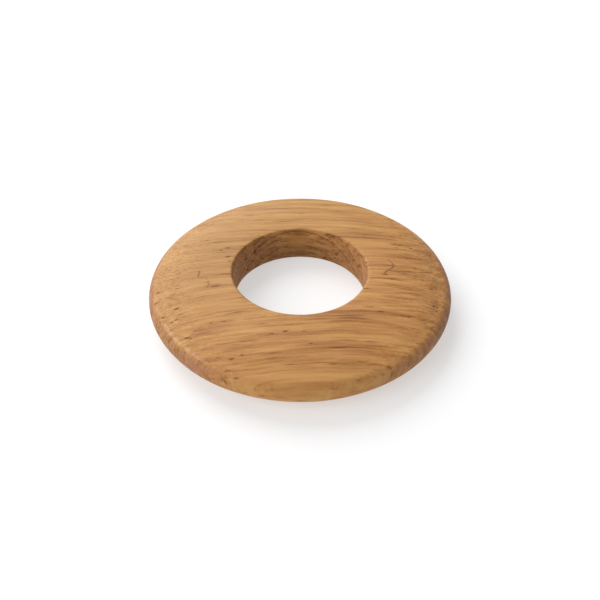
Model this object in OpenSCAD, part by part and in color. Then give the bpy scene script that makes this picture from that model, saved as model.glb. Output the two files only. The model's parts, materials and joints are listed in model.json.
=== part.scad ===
// Teething ring: one turned ring of solid oak, domed on both faces, with a round finger hole.
// Z is the axis of the ring. It lies on Z = 0, and the grain of the wood runs along X.

/* [Ring] */
// Outside diameter
ring_d = 70; // [64:0.5:80]
// Thickness at the hole, where the ring is thickest
ring_t = 8.8; // [7.4:0.1:12]
// Radius of the round nose along the outer edge
nose_r = 2.8; // [1.8:0.1:3.2]

/* [Finger hole] */
// Diameter of the hole
hole_d = 31; // [28:0.5:36]
// Radius of the rounding where the hole meets each face
rim_r = 0.6; // [0.3:0.1:1]
// Width of the flat land round the hole, which the ring lies on
land_w = 0.8; // [0.5:0.1:2]

/* [Hidden] */
$fn = 240;

// Warm light brown of oiled oak
oak = [0.77, 0.58, 0.38];

// Half of the thickness, because both faces have the same shape
half_t = ring_t / 2;
hole_r = hole_d / 2;

// Where the land starts at the rim of the hole, and where it ends and the dome begins
land_in_r = hole_r + rim_r;
land_out_r = land_in_r + land_w;

// The nose is a half-round whose centre lies on this circle
nose_centre_r = ring_d / 2 - nose_r;

// The dome is one arc. It leaves the land level and meets the nose without a crease:
// its centre lies right below the land's outer side, dome_r - nose_r away from the nose's centre.
dome_span = nose_centre_r - land_out_r;
dome_r = (pow(dome_span, 2) + pow(half_t, 2) - pow(nose_r, 2)) / (2 * (half_t - nose_r));

// Slope of the dome where it meets the nose, and how far out that is
dome_angle = asin(dome_span / (dome_r - nose_r));
dome_end_r = land_out_r + dome_r * sin(dome_angle);

// The disc that one face's dome is cut from: side is 1 for the top face and -1 for the bottom
module dome_disc(side) {
    translate([land_out_r, side * (half_t - dome_r)])
        circle(dome_r);
}

// The domed part of the section, between the land and the nose
module dome_section() {
    intersection() {
        dome_disc(1);
        dome_disc(-1);
        translate([land_out_r, -half_t])
            square([dome_end_r - land_out_r, ring_t]);
    }
}

// The part of the section round the hole, with its wall, its two rounded rims and the land
module rim_section() {
    translate([land_in_r, -half_t])
        square([land_w, ring_t]);
    translate([hole_r, rim_r - half_t])
        square([rim_r, ring_t - 2 * rim_r]);
    for (side = [-1, 1])
        translate([land_in_r, side * (half_t - rim_r)])
            circle(rim_r);
}

// The whole section, at the middle of the thickness
module ring_section() {
    rim_section();
    dome_section();
    translate([nose_centre_r, 0])
        circle(nose_r);
}

module ring() {
    color(oak)
        translate([0, 0, half_t])
            rotate_extrude()
                ring_section();
}

ring();
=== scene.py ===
"""Looks of a turned oak teething ring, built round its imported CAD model.

The ring is one mesh on the same section as the CAD ring. Its open pores, small checks and hand-sanded
unevenness are cut into the mesh, which is finer where they are. The oak is a solid procedural material:
growth layers round a pith behind the ring and below it, fibres along X, rays, pores and darker end grain.
"""

import json
import math
from types import SimpleNamespace

import bpy
import numpy as np
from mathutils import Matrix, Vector


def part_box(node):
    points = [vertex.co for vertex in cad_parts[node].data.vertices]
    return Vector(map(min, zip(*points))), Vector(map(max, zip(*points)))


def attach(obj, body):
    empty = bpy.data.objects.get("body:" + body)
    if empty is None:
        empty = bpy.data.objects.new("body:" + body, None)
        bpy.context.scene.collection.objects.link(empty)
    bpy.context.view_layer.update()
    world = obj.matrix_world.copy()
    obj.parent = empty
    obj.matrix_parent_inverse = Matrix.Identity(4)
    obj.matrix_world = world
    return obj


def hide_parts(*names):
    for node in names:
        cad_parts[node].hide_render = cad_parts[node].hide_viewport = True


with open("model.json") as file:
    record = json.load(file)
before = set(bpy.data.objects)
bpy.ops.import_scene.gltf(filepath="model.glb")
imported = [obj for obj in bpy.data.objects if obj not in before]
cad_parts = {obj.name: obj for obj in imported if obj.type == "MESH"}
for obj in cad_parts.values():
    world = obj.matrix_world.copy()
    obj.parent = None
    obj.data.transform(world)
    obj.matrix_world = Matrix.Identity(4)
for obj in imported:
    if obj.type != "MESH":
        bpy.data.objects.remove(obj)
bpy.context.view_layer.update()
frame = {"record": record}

MM = 0.001
SEED = 7

# Sizes of the section in millimetres: the frame gives the first four, and the CAD model has the same
# land and nose
LOW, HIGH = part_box("ring")
HOLE = frame["record"]["mounts"][0]["dims"]
OUTER_R = round(HIGH.y / MM, 2)
HALF_T = round((HIGH.z - LOW.z) / MM, 2) / 2
HOLE_R = HOLE["r_mm"]
RIM_R = HALF_T - HOLE["length_mm"] / 2
LAND_W = 0.8
NOSE_R = 2.8

# Mesh cells round the ring and along each stretch of the section. A cell closer than this to a pit's rim
# is split in four, each of those again, and once more.
ROUND_CELLS = 240
WALL_CELLS, RIM_CELLS, LAND_CELLS, DOME_CELLS, NOSE_CELLS = 10, 4, 2, 22, 18
SPLIT = 8
SPLIT_NEAR = 0.07

# The board: its pith runs along X, behind the ring and below it, and a year's layer is this wide on
# average. Wide and narrow years alternate by two waves of this size, in years, and rate, per year.
PITH_Y, PITH_Z = 42.0, -36.0
LAYER_W = 0.95
SLOW_WAVE = (0.30, 1.7)
QUICK_WAVE = (0.15, 4.3)

# How far its fibres stray from straight: a slow drift, a quick ripple, and a bow towards the front that
# grows with the square of the distance to the left from this X
DRIFT, RIPPLE = 0.7, 0.12
BOW, BOW_FROM = 0.0034, 6.0

# What sanding has taken off: the least and the mean over the whole ring, how far it swings round the mean,
# and how much more has gone from the crest where the faces turn over into the nose, and over what width
SANDED_LEAST, SANDED, SANDED_SWING = 0.005, 0.03, 0.02
CREST_EASE, CREST_W = 0.09, 1.3

# Pits in the mesh: open pores all over, wide ones at these X, Y places on the top face, and small checks
# there that are lines of X, Y. Sizes of pores are halves, from the least to the most.
PORE_COUNT = 260
PORE_HALF_W, PORE_HALF_L = (0.07, 0.12), (0.4, 2.2)
WIDE_HALF_W, WIDE_HALF_L = (0.12, 0.18), (0.25, 0.8)
WIDE_PORES = (
    (-18.8, 7.0), (-17.3, 7.9), (-17.0, 4.4), (-16.4, 2.6), (-26.4, -12.9), (-29.3, -14.9),
    (-26.1, -16.1), (-27.0, -16.7), (-18.5, -17.9), (-22.3, -21.7), (-23.2, -21.4), (-11.4, -26.7),
    (-13.5, -27.5), (0.9, -20.8), (-2.9, -20.8), (-5.6, -21.4), (2.3, -24.0), (17.3, -14.7),
    (23.4, 8.5), (28.4, 4.4), (29.6, -6.2), (29.3, -11.7), (29.6, -13.2), (27.0, 8.8),
    (19.5, -2.3), (19.8, -2.5),
)
CHECK_W, CHECK_DEPTH = 0.26, 0.08
CHECKS = (
    ((-23.0, -1.0), (-23.1, -2.6), (-22.8, -3.3), (-22.1, -3.4)),
    ((-21.4, -3.5), (-20.7, -4.3), (-20.3, -5.2), (-20.5, -6.4)),
    ((19.5, -2.4), (19.7, -1.5), (20.2, -0.8), (21.2, 0.0), (22.0, 1.0), (21.6, 2.2), (20.6, 3.4)),
    ((20.2, -0.8), (23.0, -1.1), (26.0, -0.8), (30.5, -0.3)),
)


# ---------------------------------------------------------------- the section


def arc(centre, radius, start, end, cells):
    """Rows of r, z and the outward normal's r and z, along an arc in degrees, without its last point."""
    angle = np.radians(np.linspace(start, end, cells * SPLIT, endpoint=False))
    c, s = np.cos(angle), np.sin(angle)
    return np.stack([centre[0] + radius * c, centre[1] + radius * s, c, s], 1)


def line(start, end, normal, cells):
    """The same rows along a straight stretch."""
    t = np.linspace(0, 1, cells * SPLIT, endpoint=False)[:, None]
    points = (1 - t) * np.array(start) + t * np.array(end)
    return np.hstack([points, np.tile(normal, (len(t), 1))])


def section():
    """The closed section round its middle height: up the wall, out over the top face, and back below."""
    land_in = HOLE_R + RIM_R
    land_out = land_in + LAND_W
    nose_centre = OUTER_R - NOSE_R
    span = nose_centre - land_out
    dome_r = (span**2 + HALF_T**2 - NOSE_R**2) / (2 * (HALF_T - NOSE_R))
    slope = math.degrees(math.asin(span / (dome_r - NOSE_R)))
    wall_z = HALF_T - RIM_R
    return np.concatenate([
        line((HOLE_R, -wall_z), (HOLE_R, wall_z), (-1, 0), WALL_CELLS),
        arc((land_in, wall_z), RIM_R, 180, 90, RIM_CELLS),
        line((land_in, HALF_T), (land_out, HALF_T), (0, 1), LAND_CELLS),
        arc((land_out, HALF_T - dome_r), dome_r, 90, 90 - slope, DOME_CELLS),
        arc((nose_centre, 0), NOSE_R, 90 - slope, slope - 90, NOSE_CELLS),
        arc((land_out, dome_r - HALF_T), dome_r, slope - 90, -90, DOME_CELLS),
        line((land_out, -HALF_T), (land_in, -HALF_T), (0, -1), LAND_CELLS),
        arc((land_in, -wall_z), RIM_R, -90, -180, RIM_CELLS),
    ])


# ---------------------------------------------------------------- fields on the surface, in millimetres


def waves(points, size, count, rng):
    """A smooth random field, mostly between -1 and 1, with features about size long in X, Y and Z."""
    total = np.zeros(len(points))
    for _ in range(count):
        direction = rng.normal(size=3) / np.array(size) * 2.2
        total += np.cos(points @ direction + rng.uniform(0, 2 * np.pi))
    return total / math.sqrt(2 * count)


def wood_coordinates(points, rng):
    """Where each point is in the board if its fibres ran straight along X."""
    drift = [waves(points, (26, 14, 14), 8, rng) for _ in "yz"]
    ripple = [waves(points, (6, 4, 4), 8, rng) for _ in "yz"]
    shift_y, shift_z = (DRIFT * d + RIPPLE * r for d, r in zip(drift, ripple))
    # The bow is full at the front and fades out towards the back
    front = np.clip(0.5 - points[:, 1] / 30, 0, 1)
    bow = BOW * np.clip(BOW_FROM - points[:, 0], 0, None) ** 2 * front
    return points + np.stack([np.zeros(len(points)), shift_y + bow, shift_z], 1)


def layer_coordinates(wood):
    """The same points as X, distance from the pith, and distance round it at the ring's own distance."""
    y, z = wood[:, 1] - PITH_Y, wood[:, 2] - PITH_Z
    middle = math.hypot(PITH_Y, PITH_Z)
    return np.stack([wood[:, 0], np.hypot(y, z), np.arctan2(z, y) * middle], 1)


def growth_years(from_pith):
    """The year in which wood grew, counted from the pith: wide and narrow years alternate unevenly."""
    years = from_pith / LAYER_W
    slow = SLOW_WAVE[0] * np.sin(years * SLOW_WAVE[1])
    return years + slow + QUICK_WAVE[0] * np.sin(years * QUICK_WAVE[1] + 1)


class Columns:
    """Finds the points near a line along the fibres: they are sorted into square columns along X."""

    WIDTH = 0.4
    STRIDE = 4096

    def __init__(self, wood):
        keys = self.key(wood[:, 1], wood[:, 2])
        self.order = np.argsort(keys, kind="stable")
        self.keys = keys[self.order]

    def key(self, y, z):
        row, column = (np.floor(v / self.WIDTH).astype(int) for v in (y, z))
        return row * self.STRIDE + column

    def near(self, y, z):
        steps = np.array([-0.5, 0.5]) * self.WIDTH
        wanted = {int(self.key(y + dy, z + dz)) for dy in steps for dz in steps}
        spans = [slice(*np.searchsorted(self.keys, (k, k + 1))) for k in sorted(wanted)]
        return np.concatenate([self.order[span] for span in spans])


class Pits:
    """What is cut into the surface: the depth at each point, and its distance to the nearest pit's rim."""

    REACH = 0.3

    def __init__(self, count):
        self.depth = np.zeros(count)
        self.rim = np.full(count, self.REACH)

    def cut(self, index, distance, half_w, depth):
        """A soft-sided pit round a line that the points are this far from; its rim is half_w from it."""
        rim = distance - half_w
        self.rim[index] = np.minimum(self.rim[index], rim)
        fall = np.clip(1 - distance / (1.3 * half_w), 0, 1)
        self.depth[index] = np.maximum(self.depth[index], depth * fall * (2 - fall))


def cut_pores(pits, points, wood, years, area, outward, rng):
    """Open pores. A pore is the stretch of a vessel that the surface has cut.

    A vessel is a slim spindle along the fibres: it makes a groove on the faces and a pit on the end grain.
    """
    columns = Columns(wood)
    # They crowd where each year starts and in the bore, whose end grain the cutter has torn wider
    in_bore = outward[:, 0] * points[:, 0] + outward[:, 1] * points[:, 1] < 0
    early = years % 1 < 0.3
    chance = area * np.where(early, 1.0, 0.12) * np.where(in_bore, 4.0, 1.0)
    torn = 1 + 1.2 * (in_bore & (np.abs(outward[:, 0]) > 0.4))
    sizes = []
    for pick in rng.choice(len(wood), PORE_COUNT, p=chance / chance.sum()):
        sizes.append((pick, rng.uniform(*PORE_HALF_W) * torn[pick], rng.uniform(*PORE_HALF_L)))
    top = outward[:, 2] > 0.5
    for place in WIDE_PORES:
        pick = np.argmin(np.where(top, np.linalg.norm(points[:, :2] - place, axis=1), np.inf))
        sizes.append((pick, rng.uniform(*WIDE_HALF_W), rng.uniform(*WIDE_HALF_L)))
    for pick, half_w, half_l in sizes:
        centre = wood[pick] - outward[pick] * rng.uniform(0, 0.6) * half_w
        index = columns.near(centre[1], centre[2])
        spread = np.linalg.norm((wood[index] - centre) / (half_l / half_w, 1, 1), axis=1)
        reached = spread < half_w + pits.REACH
        pits.cut(index[reached], spread[reached], half_w, half_w)


def cut_checks(pits, points, outward, rng):
    """Small checks in the top face: fine crooked cracks that widen, narrow and close up here and there."""
    top = np.flatnonzero(outward[:, 2] > 0.5)
    plan = points[top, :2]
    half_w = CHECK_W * np.clip(0.5 + 0.6 * waves(points[top], (1.5, 1.5, 1.5), 8, rng), 0.1, 1)
    for check in CHECKS:
        knots = np.array(check)
        for start, end in zip(knots[:-1], knots[1:]):
            along = end - start
            t = np.clip((plan - start) @ along / (along @ along), 0, 1)
            distance = np.linalg.norm(plan - start - t[:, None] * along, axis=1)
            reached = distance < CHECK_W + pits.REACH
            pits.cut(top[reached], distance[reached], half_w[reached], CHECK_DEPTH)


# ---------------------------------------------------------------- the mesh


def leaf_cells(near):
    """Rows of (row, column, size) of the mesh's cells: whole away from pits, split near them."""
    rows, columns = near.shape
    wanted = near | np.roll(near, -1, 0)
    wanted |= np.roll(wanted, -1, 1)
    grow = lambda cells: cells.repeat(2, 0).repeat(2, 1)
    # The smallest cells fill every cell that is split last, and larger ones fill what isn't split further
    leaves, size = [], 1
    while size < SPLIT:
        shape = (rows // size // 2, 2, columns // size // 2, 2)
        split = wanted.reshape(shape).any((1, 3))
        leaves.append((grow(split) & (True if size == 1 else ~wanted), size))
        wanted, size = split, size * 2
    leaves.append((~wanted, size))
    sized = lambda cells, size: np.hstack([np.argwhere(cells) * size, np.full((cells.sum(), 1), size)])
    return [sized(cells, size) for cells, size in leaves]


def cell_faces(near):
    """The lattice points that the mesh uses, and its faces as lists of their numbers, with no gaps."""
    rows, columns = near.shape
    cells = np.concatenate(leaf_cells(near))
    corner_row, corner_column, sizes = cells.T
    used = np.zeros((rows, columns), bool)
    for down, along in ((0, 0), (0, 1), (1, 0), (1, 1)):
        used[(corner_row + down * sizes) % rows, (corner_column + along * sizes) % columns] = True
    number = np.cumsum(used.ravel()).reshape(rows, columns) - 1
    faces = []
    for row, column, size in cells.tolist():
        steps = range(size)
        rim = [(row + k, column) for k in steps]
        rim += [(row + size, column + k) for k in steps]
        rim += [(row + size - k, column + size) for k in steps]
        rim += [(row, column + size - k) for k in steps]
        rim = [(r % rows, c % columns) for r, c in rim]
        faces.append([int(number[p]) for p in rim if used[p]])
    return used.ravel(), faces


def ring_mesh():
    """The ring's mesh, with what the oak needs to know at each vertex."""
    rng = np.random.default_rng(SEED)
    rows = section()
    angle = np.linspace(0, 2 * np.pi, ROUND_CELLS * SPLIT, endpoint=False)
    c, s = np.cos(angle), np.sin(angle)
    r, z, out_r, out_z = (rows[:, k, None] for k in range(4))
    flat = lambda x, y, z: np.stack([x, y, z * np.ones_like(x)], -1).reshape(-1, 3)
    points = flat(r * c, r * s, z + HALF_T)
    outward = flat(out_r * c, out_r * s, out_z)
    step = np.linalg.norm(np.roll(rows[:, :2], -1, 0) - rows[:, :2], axis=1)
    area = (step[:, None] * r * np.ones_like(c)).ravel()

    wood = wood_coordinates(points, rng)
    layers = layer_coordinates(wood)
    pits = Pits(len(points))
    cut_pores(pits, points, wood, growth_years(layers[:, 1]), area, outward, rng)
    cut_checks(pits, points, outward, rng)
    end_grain = np.abs(outward[:, 0])
    sanding = np.clip(SANDED + SANDED_SWING * waves(points, (9, 9, 9), 10, rng), SANDED_LEAST, None)
    past_crest = np.hypot(points[:, 0], points[:, 1]) - OUTER_R + NOSE_R
    crest = CREST_EASE * np.exp(-((past_crest / CREST_W) ** 2))
    depth = sanding + crest * np.abs(outward[:, 2]) + pits.depth * (1 + end_grain)

    used, faces = cell_faces((pits.rim < SPLIT_NEAR).reshape(len(rows), -1))
    mesh = bpy.data.meshes.new("oak_ring")
    vertices = (points - outward * depth[:, None])[used] * MM
    mesh.from_pydata(vertices.tolist(), [], faces)
    mesh.shade_smooth()
    kept = (("layers", "FLOAT_VECTOR", "vector", layers), ("rim", "FLOAT", "value", pits.rim))
    for name, kind, key, values in kept:
        attribute = mesh.attributes.new(name, kind, "POINT")
        attribute.data.foreach_set(key, values[used].astype(np.float32).ravel())
    return mesh


# ---------------------------------------------------------------- the oak


# Colours of the plain wood, from pale to dark, each at its darkness
WOOD = (
    (0.10, (0.540, 0.285, 0.090)),
    (0.42, (0.455, 0.216, 0.059)),
    (0.64, (0.360, 0.156, 0.038)),
    (0.90, (0.215, 0.082, 0.019)),
)
# Colours that are mixed into it
REDDISH = (0.430, 0.178, 0.062)
RAY = (0.530, 0.255, 0.092)
PALE = (0.520, 0.262, 0.085)
BLUSH = (0.415, 0.190, 0.108)
STAIN = (0.205, 0.084, 0.040)
# A painted highlight on the crest where the nose turns over
PAINTED_CREST_HIGHLIGHT = (0.590, 0.345, 0.190)
VESSEL = (0.150, 0.056, 0.015)
ROUND_PIT = (0.220, 0.090, 0.025)
IN_PIT = (0.120, 0.046, 0.013)
# Colours that it is multiplied by
YELLOWER = (0.985, 1.035, 0.930)
# Painted shade all over the bore, a little redder
PAINTED_BORE_SHADE = (0.870, 0.810, 0.795)
# Deeper painted shade at the bore's foot
PAINTED_BORE_FOOT_SHADE = (0.660, 0.640, 0.680)


def colour(rgb):
    return (*rgb, 1.0)


class Graph:
    """A material's node graph: each method adds nodes and gives the socket that the next one reads."""

    def __init__(self, name):
        self.material = bpy.data.materials.new(name)
        self.material.use_nodes = True
        self.tree = self.material.node_tree
        self.shader = self.tree.nodes["Principled BSDF"]

    def node(self, kind, inputs=(), **settings):
        node = self.tree.nodes.new("ShaderNode" + kind)
        for name, value in settings.items():
            setattr(node, name, value)
        for name, value in dict(inputs).items():
            self.feed(node.inputs[name], value)
        return node

    def feed(self, socket, value):
        if isinstance(value, bpy.types.NodeSocket):
            self.tree.links.new(value, socket)
        else:
            socket.default_value = value

    def attribute(self, name, output="Fac"):
        return self.node("Attribute", attribute_name=name).outputs[output]

    def math(self, operation, a, b=0.0):
        return self.node("Math", {0: a, 1: b}, operation=operation).outputs[0]

    def vector_math(self, operation, a, b=(0, 0, 0), output="Vector"):
        return self.node("VectorMath", {0: a, 1: b}, operation=operation).outputs[output]

    def add(self, first, *others):
        for other in others:
            first = self.math("ADD", first, other)
        return first

    def multiply(self, first, *others):
        for other in others:
            first = self.math("MULTIPLY", first, other)
        return first

    def swing(self, noise, weight):
        """A noise's distance from its middle value, 0.5, times the weight."""
        return self.multiply(self.math("SUBTRACT", noise, 0.5), weight)

    def stretch(self, vector, x, out, round_=None):
        """The layer coordinates scaled, per millimetre, along the fibres, out from the pith and round."""
        return self.vector_math("MULTIPLY", vector, (x, out, out if round_ is None else round_))

    def shifted(self, vector, offset):
        """The same coordinates elsewhere in the board, for a field that doesn't follow the others."""
        return self.vector_math("ADD", vector, (offset, offset, offset))

    def noise(self, vector, detail=2.0, roughness=0.5):
        inputs = {"Vector": vector, "Scale": 1.0, "Detail": detail, "Roughness": roughness}
        return self.node("TexNoise", inputs).outputs["Fac"]

    def cells(self, vector):
        """Distance to the nearest of a set of scattered points, one in each unit cell."""
        return self.node("TexVoronoi", {"Vector": vector, "Scale": 1.0}).outputs["Distance"]

    def smooth(self, value, start, end, low=0.0, high=1.0):
        """Runs smoothly from low to high as value goes from start to end."""
        inputs = {"Value": value, "From Min": start, "From Max": end, "To Min": low, "To Max": high}
        return self.node("MapRange", inputs, interpolation_type="SMOOTHSTEP").outputs[0]

    def mix(self, factor, tone, rgb, blend="MIX"):
        """The tone with a colour mixed in by the factor."""
        # The sockets for colours come after those for the node's other kinds of data
        inputs = {0: factor, 6: tone, 7: colour(rgb)}
        return self.node("Mix", inputs, data_type="RGBA", blend_type=blend).outputs[2]

    def ramp(self, value, stops):
        node = self.node("ValToRGB", {0: value})
        elements = node.color_ramp.elements
        while len(elements) < len(stops):
            elements.new(1.0)
        for element, (place, rgb) in zip(elements, stops):
            element.position, element.color = place, colour(rgb)
        return node.outputs["Color"]


def board_fields(g):
    """What all parts of the oak read: where a point is in the board, and how the surface lies there."""
    f = SimpleNamespace(layers=g.attribute("layers", "Vector"), rim=g.attribute("rim"))
    board = g.node("SeparateXYZ", {0: f.layers}).outputs
    f.along_board, f.from_pith = board["X"], board["Y"]
    place = g.node("TexCoord").outputs
    normal = g.node("SeparateXYZ", {0: place["Normal"]}).outputs
    f.along, f.upward = (g.math("ABSOLUTE", normal[axis]) for axis in "XZ")
    f.height = g.node("SeparateXYZ", {0: place["Object"]}).outputs["Z"]
    level = g.vector_math("MULTIPLY", place["Object"], (1, 1, 0))
    f.from_axis = g.vector_math("LENGTH", level, output="Value")

    # How far the fibres run out of the face: a little, and so far that it is end grain
    f.run_out = g.smooth(f.along, 0.04, 0.20)
    f.end_grain = g.smooth(f.along, 0.22, 0.85)
    f.bore = g.smooth(f.from_axis, (HOLE_R + 0.15) * MM, (HOLE_R + RIM_R) * MM, 1.0, 0.0)

    # The board is yellower and plainer on the pith's side and towards -X, and a few layers are pale
    f.far_side = g.add(f.from_pith, g.multiply(f.along_board, 0.6))
    f.yellow = g.smooth(f.far_side, 38.0, 82.0, 1.0, 0.0)
    f.pale = g.multiply(g.smooth(f.from_pith, 83.0, 83.8), g.smooth(f.from_pith, 84.6, 88.0, 1.0, 0.0))

    f.fibre = g.noise(g.stretch(f.layers, 0.140, 6.0), 2.0, 0.6)
    f.redness = g.noise(g.stretch(g.shifted(f.layers, 31.0), 0.045, 0.60), 3.0, 0.6)
    f.blotch = g.noise(g.stretch(g.shifted(f.layers, 57.0), 0.6, 0.6), 3.0, 0.6)
    return f


def add_growth(g, f):
    """Each of growth_years starts with a dark line of open pores, some years more than others."""
    steady = g.math("DIVIDE", f.from_pith, LAYER_W)
    slow = g.math("SINE", g.multiply(steady, SLOW_WAVE[1]))
    quick = g.math("SINE", g.add(g.multiply(steady, QUICK_WAVE[1]), 1.0))
    years = g.add(steady, g.multiply(slow, SLOW_WAVE[0]), g.multiply(quick, QUICK_WAVE[0]))
    year = g.math("FRACT", years)
    f.spring = g.multiply(g.smooth(year, 0.0, 0.08), g.smooth(year, 0.14, 0.45, 1.0, 0.0))
    lot = g.node("TexWhiteNoise", {"W": g.math("FLOOR", years)}, noise_dimensions="1D").outputs["Value"]
    fading = g.smooth(g.noise(g.stretch(f.layers, 0.045, 0.4)), 0.38, 0.60)
    f.line = g.multiply(f.spring, fading, g.smooth(lot, 0.0, 1.0, 0.35, 1.0))


def darkness(g, f):
    """How dark the plain wood is, for the ramp from pale to dark."""
    # Streaks along the fibres: finer far from the pith
    broad = g.noise(g.stretch(f.layers, 0.040, 0.70))
    narrow = g.noise(g.stretch(f.layers, 0.050, 1.25))
    coarse = g.multiply(g.swing(broad, 1.15), g.smooth(f.from_pith, 55.0, 75.0, 1.18, 0.85))
    fine = g.multiply(
        g.swing(narrow, 0.95),
        g.smooth(f.far_side, 40.0, 72.0, 0.45, 1.0),
        g.smooth(f.from_pith, 55.0, 72.0, 0.75, 1.15),
    )
    streaks = g.add(g.swing(f.fibre, 0.25), coarse, fine, g.multiply(f.line, 0.32))

    # They are bold on the far side and in the bore, and weak at the -X end and on end grain
    bold = g.multiply(
        g.smooth(f.far_side, 35.0, 85.0, 0.62, 1.22),
        g.smooth(f.bore, 0.0, 1.0, 1.0, 2.7),
        g.smooth(f.along_board, -30.0, -12.0, 0.75, 1.0),
        g.smooth(f.run_out, 0.0, 1.0, 1.0, 0.85),
        g.smooth(f.end_grain, 0.0, 0.5, 1.0, 0.60),
    )

    # They break up into flecks where the fibres run out of the face, and into rings on end grain
    fleck = g.noise(g.stretch(g.shifted(f.layers, 83.0), 1.0, 2.2), 3.0, 0.7)
    flecks = g.swing(fleck, g.smooth(f.run_out, 0.0, 1.0, 0.30, 1.6))
    rings = g.multiply(f.spring, f.end_grain, g.smooth(f.blotch, 0.35, 0.60, 0.10, 0.42))
    patch = g.noise(g.stretch(f.layers, 0.030, 0.14))
    pale = g.multiply(f.pale, -0.17)
    return g.add(0.42, g.swing(patch, 0.5), pale, g.multiply(streaks, bold), flecks, rings)


def tinted(g, f, tone):
    """Reddish patches, pale rays, the yellower side and the pale layers."""
    red = g.multiply(g.smooth(f.redness, 0.44, 0.66, 0.0, 0.55), g.smooth(f.yellow, 0.0, 1.0, 1.0, 0.4))
    ray = g.noise(g.stretch(f.layers, 0.100, 0.25, 2.6), 1.0)
    tone = g.mix(red, tone, REDDISH)
    tone = g.mix(g.smooth(ray, 0.60, 0.70, 0.0, 0.50), tone, RAY)
    tone = g.mix(f.yellow, tone, YELLOWER, "MULTIPLY")
    return g.mix(g.multiply(f.pale, 0.35), tone, PALE)


def stain_and_painted_bore_shade(g, f, tone):
    """Painted shade in the bore, deepest at its foot, and oil that goes deeper into end grain."""
    # Painted shade: the bore is darker and a little redder all over
    tone = g.mix(f.bore, tone, PAINTED_BORE_SHADE, "MULTIPLY")
    # Painted shade darker still towards the bore's foot, less on its end grain
    low = g.smooth(f.height, 1.5 * MM, 7.0 * MM, 1.0, 0.0)
    low = g.multiply(f.bore, low, g.smooth(f.end_grain, 0.0, 1.0, 1.0, 0.1))
    tone = g.mix(low, tone, PAINTED_BORE_FOOT_SHADE, "MULTIPLY")

    # End grain is pinker, and it is stained in blotches; at the +X end the same dark blotches reach a
    # little past it, so the ring is darker towards that end
    blush = g.multiply(
        g.smooth(f.redness, 0.43, 0.60, 0.10, 0.65),
        g.smooth(f.end_grain, 0.0, 0.60),
        g.smooth(f.bore, 0.0, 1.0, 1.0, 0.1),
    )
    tone = g.mix(blush, tone, BLUSH)
    far_end = g.add(f.along_board, g.multiply(f.from_pith, 0.15))
    darker_past_plus_x_end = g.multiply(f.run_out, g.smooth(far_end, 33.0, 41.0, 0.0, 0.60))
    stain = g.multiply(
        g.math("MAXIMUM", f.end_grain, darker_past_plus_x_end),
        g.smooth(f.blotch, 0.37, 0.63, 0.14, 0.72),
        g.smooth(f.spring, 0.0, 1.0, 0.85, 1.35),
        g.smooth(f.bore, 0.0, 1.0, 1.0, 0.40),
    )
    return g.mix(stain, tone, STAIN)


def painted_crest_highlight(g, f, tone):
    """A painted highlight on the crest here and there, where the nose turns over."""
    crest = g.multiply(
        g.math("GREATER_THAN", f.from_axis, (HOLE_R + OUTER_R) / 2 * MM),
        g.smooth(f.upward, 0.80, 0.92),
        g.smooth(f.upward, 0.955, 0.985, 1.0, 0.0),
        g.smooth(f.along, 0.10, 0.30, 0.0, 0.85),
        g.smooth(f.far_side, 40.0, 54.0, 0.1, 1.0),
        g.smooth(f.far_side, 60.0, 82.0, 1.0, 0.0),
        g.smooth(f.blotch, 0.45, 0.60, 1.0, 0.2),
    )
    # The painted highlight, mixed in along the crest
    return g.mix(crest, tone, PAINTED_CREST_HIGHLIGHT)


def oak():
    """Oiled oak, in the board's own coordinates in millimetres."""
    g = Graph("oiled_oak")
    f = board_fields(g)
    add_growth(g, f)
    # The plain wood and its tints, oil stain with painted shade in the bore, and a painted highlight on
    # the crest
    tone = painted_crest_highlight(g, f, stain_and_painted_bore_shade(g, f, tinted(g, f, g.ramp(darkness(g, f), WOOD))))

    # Vessels too fine for the mesh, and dark oil in the mesh's pits and round them
    vessel = g.cells(g.stretch(g.shifted(f.layers, 11.0), 0.16, 2.0))
    vessel = g.math("SUBTRACT", vessel, g.smooth(f.spring, 0.0, 1.0, 0.09, 0.27))
    vessel = g.smooth(vessel, -0.06, 0.03, 1.0, 0.0)
    tone = g.mix(g.multiply(vessel, g.smooth(f.end_grain, 0.0, 1.0, 0.18, 0.65)), tone, VESSEL)
    tone = g.mix(g.smooth(f.rim, 0.0, Pits.REACH, 0.30, 0.0), tone, ROUND_PIT)
    tone = g.mix(g.smooth(f.rim, -0.08, 0.04, 0.36, 0.0), tone, IN_PIT)
    g.feed(g.shader.inputs["Base Color"], tone)

    g.feed(g.shader.inputs["Roughness"], g.smooth(f.fibre, 0.2, 0.8, 0.50, 0.66))
    relief = g.add(g.swing(f.fibre, 0.6), g.swing(vessel, -0.6), g.swing(f.line, -0.4))
    bump = g.node("Bump", {"Height": relief, "Distance": 0.06 * MM, "Strength": 1.0})
    g.feed(g.shader.inputs["Normal"], bump.outputs[0])
    g.shader.inputs["IOR"].default_value = 1.45
    g.shader.inputs["Specular IOR Level"].default_value = 0.30
    return g.material


# ---------------------------------------------------------------- studio


# The camera: focal length and film width in millimetres, its tilt below the horizon in degrees, how far it
# is from the point that it looks at, and how far that point is below the ring's middle, in metres
FOCAL, FILM = 35.76, 36.0
TILT = 41.2
DISTANCE, DROP = 0.1405, 0.00408

# The lights: azimuth counted from +X towards +Y and elevation in degrees, width in metres, and watts. Both
# are this far from the ring.
KEY = (119, 34, 1.0, 11.6)
FILL = (206, 28, 0.9, 5.6)
LIGHT_DISTANCE = 1.0

# The surroundings' colour and strength, half the floor's width, its grey and how strongly it glows
WORLD, WORLD_STRENGTH = (0.98, 0.98, 1.0), 0.45
FLOOR_HALF = 2.0
PAPER_GREY, PAPER_GLOW = 0.52, 0.46


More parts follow.
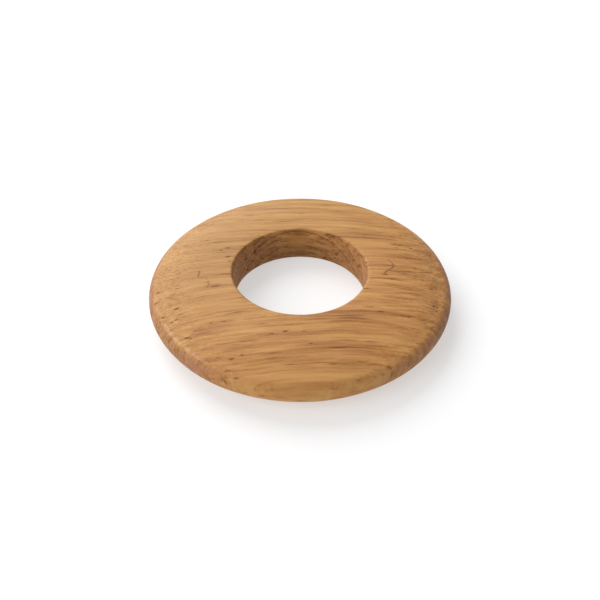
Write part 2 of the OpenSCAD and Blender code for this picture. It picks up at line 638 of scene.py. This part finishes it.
def direction(azimuth, elevation):
    """Unit vector towards an azimuth and an elevation in degrees."""
    a, e = math.radians(azimuth), math.radians(elevation)
    return Vector((math.cos(a) * math.cos(e), math.sin(a) * math.cos(e), math.sin(e)))


def aim(thing, place, target):
    thing.location = place
    thing.rotation_mode = "QUATERNION"
    thing.rotation_quaternion = (target - place).to_track_quat("-Z", "Y")
    bpy.context.scene.collection.objects.link(thing)


def camera(centre):
    """A close camera, low in front of the ring, that looks at a point a little below its middle."""
    data = bpy.data.cameras.new("camera")
    data.sensor_width = FILM
    data.lens = FOCAL
    data.clip_start, data.clip_end = 0.01, 10.0
    back = direction(-90, TILT)
    up = direction(90, 90 - TILT)
    target = centre - up * DROP
    lens = bpy.data.objects.new("camera", data)
    aim(lens, target + back * DISTANCE, target)
    bpy.context.scene.camera = lens


def softbox(name, centre, azimuth, elevation, width, power):
    data = bpy.data.lights.new(name, "AREA")
    data.shape = "DISK"
    data.size = width
    data.energy = power
    place = centre + direction(azimuth, elevation) * LIGHT_DISTANCE
    aim(bpy.data.objects.new(name, data), place, centre)


def studio(centre):
    """A large soft light from behind on the left, a weak one from the left, and pale surroundings.

    The floor glows a little, so that shadows on it stay light.
    """
    world = bpy.data.worlds.new("studio")
    world.use_nodes = True
    background = world.node_tree.nodes["Background"]
    background.inputs["Color"].default_value = colour(WORLD)
    background.inputs["Strength"].default_value = WORLD_STRENGTH
    bpy.context.scene.world = world
    softbox("key", centre, *KEY)
    softbox("fill", centre, *FILL)

    mesh = bpy.data.meshes.new("floor")
    corners = [(x * FLOOR_HALF, y * FLOOR_HALF, 0) for x, y in ((-1, -1), (1, -1), (1, 1), (-1, 1))]
    mesh.from_pydata(corners, [], [(0, 1, 2, 3)])
    paper = bpy.data.materials.new("paper")
    paper.use_nodes = True
    shader = paper.node_tree.nodes["Principled BSDF"]
    shader.inputs["Base Color"].default_value = colour([PAPER_GREY] * 3)
    shader.inputs["Roughness"].default_value = 0.9
    shader.inputs["Emission Color"].default_value = colour([1.0] * 3)
    shader.inputs["Emission Strength"].default_value = PAPER_GLOW
    mesh.materials.append(paper)
    floor = bpy.data.objects.new("floor", mesh)
    floor.location.z = LOW.z
    bpy.context.scene.collection.objects.link(floor)
    bpy.context.scene.view_settings.view_transform = "Standard"


# ---------------------------------------------------------------- the scene

middle = (LOW + HIGH) / 2
camera(middle)
studio(middle)

ring = bpy.data.objects.new("oak_ring", ring_mesh())
ring.data.materials.append(oak())
bpy.context.scene.collection.objects.link(ring)
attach(ring, "root")
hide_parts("ring")
